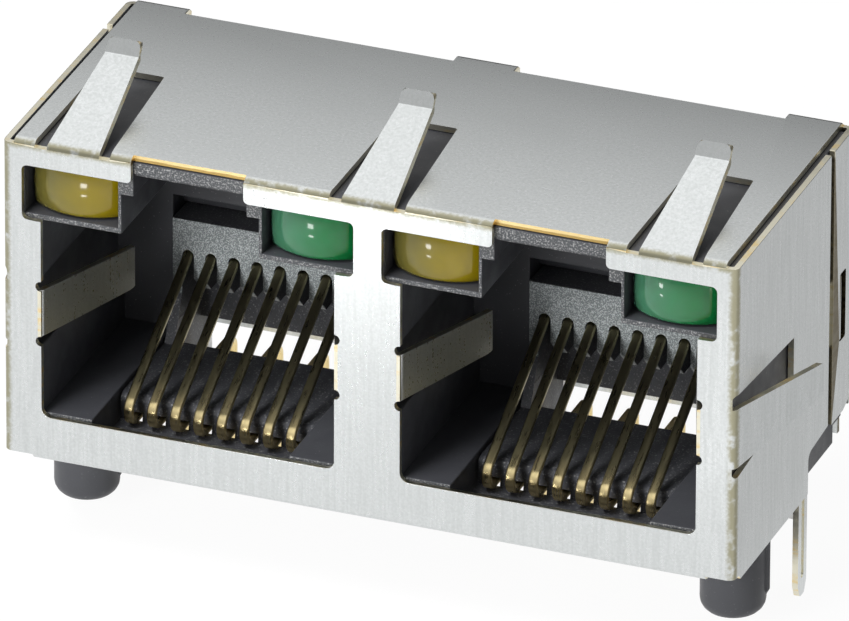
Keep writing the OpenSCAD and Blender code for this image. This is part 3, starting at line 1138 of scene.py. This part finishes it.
@dataclass
class Contacts:
    """The eight sprung wires of each port, in two rows of tails."""

    ports: int
    wires: SweptWires
    gold: GoldPlate = GoldPlate()
    per_port: int = 8
    thickness: float = 0.25
    corner: float = 0.07
    bend_radius: float = 0.45  # inside the front bend
    tail_radius: float = 0.3  # inside the bend over the tail
    bend_steps: int = 10
    rise: float = 29.5  # slope of the sprung run, in degrees
    run_height: float = 1.0  # of the lower run's middle line over the board
    tail_tip: float = 0.1  # height of the tail's end that gives its depth

    def build(self) -> list[Object]:
        """Makes both rows of every port.

        Returns:
            One piece for each row.
        """
        finish = self.gold.material()
        return [self.half(port, row, finish) for port in range(1, self.ports + 1) for row in Row]

    def half(self, port: int, row: Row, finish: Material) -> Object:
        """Makes one row of a port's contacts.

        Args:
            port: Number of the port, from 1.
            row: Which row of tails.
            finish: Material of the wires.

        Returns:
            The row's piece.
        """
        nodes = [f"contact_{port}_{k}" for k in range(row.value, self.per_port + 1, len(Row))]
        low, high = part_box(nodes[0])
        mesh = self.wires.row(
            self.path(nodes[0]),
            Width=high.x - low.x,
            Thickness=self.thickness * MM,
            Corner=self.corner * MM,
            Pitch=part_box(nodes[1])[0].x - low.x,
            Count=len(nodes),
            Finish=finish,
        )
        name = f"contacts_{port}_{row.name.lower()}"
        return piece_of(name, mesh, Slot.CONTACT, *nodes)

    def path(self, node: str) -> list[Vector]:
        """Finds a contact's middle line from its box.

        Args:
            node: The contact's CAD node.

        Returns:
            The points from the tail's end to the sprung end.
        """
        low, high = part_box(node)
        x, tail = (low.x + high.x) / 2, self.tail_depth(node)
        thick, slope, run = self.thickness * MM, math.radians(self.rise), self.run_height * MM
        front = self.bend_radius * MM + thick / 2
        reach = front * math.tan((math.pi - slope) / 2)
        bend = Vector((x, low.y + self.bend_radius * MM + thick - reach, run))
        along = Vector((0, math.cos(slope), math.sin(slope)))
        length = (high.z - math.cos(slope) * thick / 2 - run) / math.sin(slope)
        corners = [Vector((x, tail, low.z)), Vector((x, tail, run)), bend, bend + along * length]
        return filleted(corners, (0, self.tail_radius * MM + thick / 2, front, 0), self.bend_steps)

    def tail_depth(self, node: str) -> float:
        """Finds how far back a contact's tail stands, from the lowest points of its node.

        Args:
            node: The contact's CAD node.

        Returns:
            The y of the tail's middle line in metres.
        """
        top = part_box(node)[0].z + self.tail_tip * MM
        tail = [v.co.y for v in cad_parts[node].data.vertices if v.co.z < top]
        return (min(tail) + max(tail)) / 2


@dataclass
class Lamps:
    """The four signal lamps with bowed lenses, and their bent leads."""

    ports: int
    wires: SweptWires
    # pale and deep resin of each lamp; the pale side is a painted reflection
    yellow: tuple[Colour, Colour] = ((0.062, 0.055, 0.012), (0.145, 0.108, 0.0))
    green: tuple[Colour, Colour] = ((0.026, 0.092, 0.052), (0.0, 0.082, 0.016))
    tinned: TinnedWire = TinnedWire()
    bow: float = 2.9  # radius of the front across
    crown: float = 3.2  # radius of the front upwards
    rounding: float = 0.14
    columns: int = 32
    rows: int = 18
    lead_bend: float = 0.2  # inside the bend
    lead_corner: float = 0.06
    lead_steps: int = 6

    def build(self) -> list[Object]:
        """Makes the lenses and leads of every port.

        Returns:
            All their pieces.
        """
        tinned = self.tinned.material()
        made: list[Object] = []
        for port in range(1, self.ports + 1):
            for lamp in Lamp:
                made.append(self.lens(port, lamp))
                made.append(self.leads(port, lamp, tinned))
        return made

    def lens(self, port: int, lamp: Lamp) -> Object:
        """Makes one lens, bowed in plan and crowned in height.

        Args:
            port: Number of the port, from 1.
            lamp: Which of its lamps.

        Returns:
            The lens.
        """
        node = f"lamp_{lamp.value}_{port}"
        low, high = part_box(node)
        shell = bmesh.new()
        grid = [
            [shell.verts.new(self.front(low, high, i, j)) for j in range(self.rows + 1)]
            for i in range(self.columns + 1)
        ]
        for i in range(self.columns):
            for j in range(self.rows):
                ring = (grid[i][j], grid[i + 1][j], grid[i + 1][j + 1], grid[i][j + 1])
                shell.faces.new(ring)
        rim = [e for e in shell.edges if e.is_boundary]
        wall = bmesh.ops.extrude_edge_only(shell, edges=rim)["geom"]
        for vert in (g for g in wall if isinstance(g, BMVert)):
            vert.co.y = high.y
        bmesh.ops.contextual_create(shell, geom=[e for e in shell.edges if e.is_boundary])
        bmesh.ops.recalc_face_normals(shell, faces=shell.faces)
        mesh = meshed(node, shell)
        creased(mesh)
        pale, deep = self.yellow if lamp is Lamp.YELLOW else self.green
        resin = LensResin(f"{lamp.value}_resin_{port}", pale, deep, (low.x + high.x) / 2 / MM)
        mesh.materials.append(resin.material())
        return piece_of(f"lens_{lamp.value}_{port}", mesh, Slot[lamp.name], node)

    def front(self, low: Vector, high: Vector, i: int, j: int) -> Vector:
        """Finds one point of a lens's front.

        Args:
            low: Lowest corner of the lamp.
            high: Highest corner of the lamp.
            i: Column of the point.
            j: Row of the point.

        Returns:
            The point, on a front that is bowed across, crowned upwards and rounded off.
        """
        middle, half = (low + high) / 2, (high - low) / 2
        x = -math.cos(math.pi * i / self.columns) * half.x
        z = -math.cos(math.pi * j / self.rows) * half.z
        bow, crown = self.bow * MM, self.crown * MM
        depth = bow - math.sqrt(bow**2 - x**2) + crown - math.sqrt(crown**2 - z**2)
        soft = self.rounding * MM
        for reach in (half.x - abs(x), half.z - abs(z)):
            band = max(0.0, 1 - reach / soft)
            depth += soft * (1 - math.sqrt(1 - band**2))
        return Vector((middle.x + x, low.y + depth, middle.z + z))

    def leads(self, port: int, lamp: Lamp, finish: Material) -> Object:
        """Makes the two bent leads of one lamp.

        Args:
            port: Number of the port, from 1.
            lamp: Which of its lamps.
            finish: Material of the leads.

        Returns:
            The pair of leads.
        """
        nodes = [f"lamp_lead_{lamp.value}_{port}_{side}" for side in ("left", "right")]
        low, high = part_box(nodes[0])
        side = high.x - low.x
        x, back, top = (low.x + high.x) / 2, high.y - side / 2, high.z - side / 2
        corners = [Vector((x, low.y, top)), Vector((x, back, top)), Vector((x, back, low.z))]
        radii = (0, self.lead_bend * MM + side / 2, 0)
        mesh = self.wires.row(
            filleted(corners, radii, self.lead_steps),
            Width=side,
            Thickness=side,
            Corner=self.lead_corner * MM,
            Pitch=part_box(nodes[1])[0].x - low.x,
            Count=len(nodes),
            Finish=finish,
        )
        return piece_of(f"leads_{lamp.value}_{port}", mesh, Slot.LEAD, *nodes)


# ---------------------------------------------------------------- the studio


@dataclass(frozen=True)
class AreaLight:
    """A square soft light: where it hangs, the point it faces, its side and its watts."""

    name: str
    place: Point
    aim: Point
    size: float
    power: float

    def hang(self) -> None:
        """Hangs the light where neither the camera nor a mirror sees it."""
        data = bpy.data.lights.new(self.name, "AREA")
        data.shape, data.size, data.energy = "SQUARE", self.size * MM, self.power
        light = linked(self.name, data)
        back = (Vector(self.place) - Vector(self.aim)).normalized()
        turn = back.to_track_quat("Z", "Y").to_matrix().to_4x4()
        light.matrix_world = Matrix.Translation(Vector(self.place) * MM) @ turn
        light.visible_camera = light.visible_glossy = False


@dataclass(frozen=True)
class Card:
    """A glowing rectangle that only mirrors see, shaded between two heights."""

    name: str
    near: Point
    far: Point
    glow: Span  # at the two heights
    heights: Span = (-10.0, 10.0)

    def stand(self) -> None:
        """Stands the card in the scene, outside the object."""
        shader = Shader(self.name)
        _, _, z = shader.split(shader.place)
        glow = shader.glow("ShaderNodeEmission", shader.ramp(z, self.heights, self.glow))
        mesh = rectangle(self.name, self.near, self.far)
        mesh.materials.append(shader.closed(glow))
        card = linked(self.name, mesh)
        card.visible_camera = card.visible_diffuse = card.visible_shadow = False
        card.visible_transmission = False


@dataclass
class Studio:
    """Camera, pale floor, white background, soft lights and the cards that metal mirrors."""

    azimuth: float = 20.92
    elevation: float = 27.18
    roll: float = 0.23
    offset: Span = (0.10, 1.20)  # of the target from the picture's middle, right and up
    distance: float = 812.3
    lens: float = 846.04
    sensor: float = 36.0
    clip: Span = (0.05, 20.0)  # in metres
    target: Point = (0.1, 1.75, 7.85)
    floor_gap: float = 0.02  # under the object's lowest point
    floor_half: float = 1500.0
    floor_tone: Colour = (0.86, 0.86, 0.86)
    floor_glow: float = 0.94  # share of glow to the camera and to mirrors
    floor_mirrored: float = 0.84  # its strength to mirrors
    fill_tone: Colour = (0.98, 0.99, 1.0)
    fill: float = 0.5
    sky_tone: Colour = (0.8, 0.8, 0.8)
    sky_rise: Span = (0.45, 0.85)  # rise of a view, over which the sky brightens
    sky_glow: Span = (0.52, 1.35)
    lights: tuple[AreaLight, ...] = (
        AreaLight("key", (-90, -120, 260), (0, 0, 6), 120, 1.0),
        AreaLight("front", (-70, -190, 70), (0, 0, 8), 70, 0.55),
    )
    cards: tuple[Card, ...] = (
        Card("back_card", (-70, 30, 6), (70, 30, 70), (0.0, 0.9), (22.0, 35.5)),
        Card("side_card", (18, -5, -4.2), (90, 120, -4.2), (0.56, 0.56)),
        Card("right_card", (5, -60, -4.2), (45, -19, -4.2), (1.12, 1.12)),
        Card("glint_card_0", (-15.3, -38, -4.2), (-10.3, -38, -2.2), (13.0, 13.0)),
        Card("glint_card_1", (-15.8, -38, 4.8), (-9.8, -38, 9.0), (13.0, 13.0)),
    )

    def build(self) -> None:
        """Sets up the whole studio."""
        bpy.context.scene.view_settings.view_transform = "Standard"
        self.place_camera()
        self.lay_floor()
        self.light_room()
        for light in self.lights:
            light.hang()
        for card in self.cards:
            card.stand()
        log.info("studio: %d lights, %d cards", len(self.lights), len(self.cards))

    def place_camera(self) -> None:
        """Places the camera on its line of sight."""
        azimuth, elevation, roll = map(math.radians, (self.azimuth, self.elevation, self.roll))
        right = Vector((math.cos(azimuth), math.sin(azimuth), 0))
        level = Vector((-math.sin(azimuth), math.cos(azimuth), 0))
        ahead = level * math.cos(elevation) - Vector((0, 0, math.sin(elevation)))
        up = right.cross(ahead)
        across = math.cos(roll) * right + math.sin(roll) * up
        upright = -math.sin(roll) * right + math.cos(roll) * up
        middle = Vector(self.target) - self.offset[0] * across - self.offset[1] * upright
        data = bpy.data.cameras.new("camera")
        data.lens, data.sensor_width = self.lens, self.sensor
        data.clip_start, data.clip_end = self.clip
        camera = linked("camera", data)
        turn = Matrix((across, upright, -ahead)).transposed().to_4x4()
        camera.matrix_world = Matrix.Translation((middle - self.distance * ahead) * MM) @ turn
        bpy.context.scene.camera = camera

    def lay_floor(self) -> None:
        """Lays the pale floor under the lowest point, with the object's shadow on it."""
        half, low = self.floor_half, CAD_BOX[0].z / MM - self.floor_gap
        mesh = rectangle("floor", (-half, -half, low), (half, half, low))
        shader = Shader("pale_floor")
        ray = shader.add("ShaderNodeLightPath").outputs
        matt = shader.add("ShaderNodeBsdfDiffuse", {"Color": self.floor_tone}).outputs["BSDF"]
        mirrored = self.floor_mirrored - 1.0
        strength = shader.sums("MULTIPLY_ADD", ray["Is Glossy Ray"], mirrored, 1.0)
        glow = shader.glow("ShaderNodeEmission", strength)
        seen = shader.sums("MAXIMUM", ray["Is Camera Ray"], ray["Is Glossy Ray"])
        share = shader.sums("MULTIPLY", seen, self.floor_glow)
        mesh.materials.append(shader.closed(shader.mix(share, matt, glow)))
        linked("floor", mesh)

    def light_room(self) -> None:
        """Lights the room softly, white to the camera and paler overhead to mirrors."""
        world = bpy.data.worlds.new("studio")
        bpy.context.scene.world = world
        world.use_nodes = True
        graph = Graph(world.node_tree)
        ray = graph.add("ShaderNodeLightPath").outputs
        _, _, z = graph.split(graph.add("ShaderNodeTexCoord").outputs["Generated"])
        strength = graph.ramp(z, self.sky_rise, self.sky_glow)
        soft = graph.glow("ShaderNodeBackground", self.fill, self.fill_tone)
        sky = graph.glow("ShaderNodeBackground", strength, self.sky_tone)
        white = graph.glow("ShaderNodeBackground", 1.0)
        clear = graph.sums("MAXIMUM", ray["Is Camera Ray"], ray["Is Transmission Ray"])
        room = graph.mix(ray["Is Glossy Ray"], soft, sky)
        graph.add("ShaderNodeOutputWorld", {"Surface": graph.mix(clear, room, white)})


def main() -> None:
    """Builds the jack in order and reports each piece."""
    logging.basicConfig(level=logging.INFO, format="%(name)s: %(message)s")
    ports = sum(1 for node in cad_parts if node.startswith("contact_carrier_"))
    wires = SweptWires()
    Studio().build()
    for part in (Shield(), Mouldings(ports), Contacts(ports, wires), Lamps(ports, wires)):
        for piece in part.build():
            log.info("%s: %d faces", piece.name, len(piece.data.polygons))


if __name__ == "__main__":
    main()
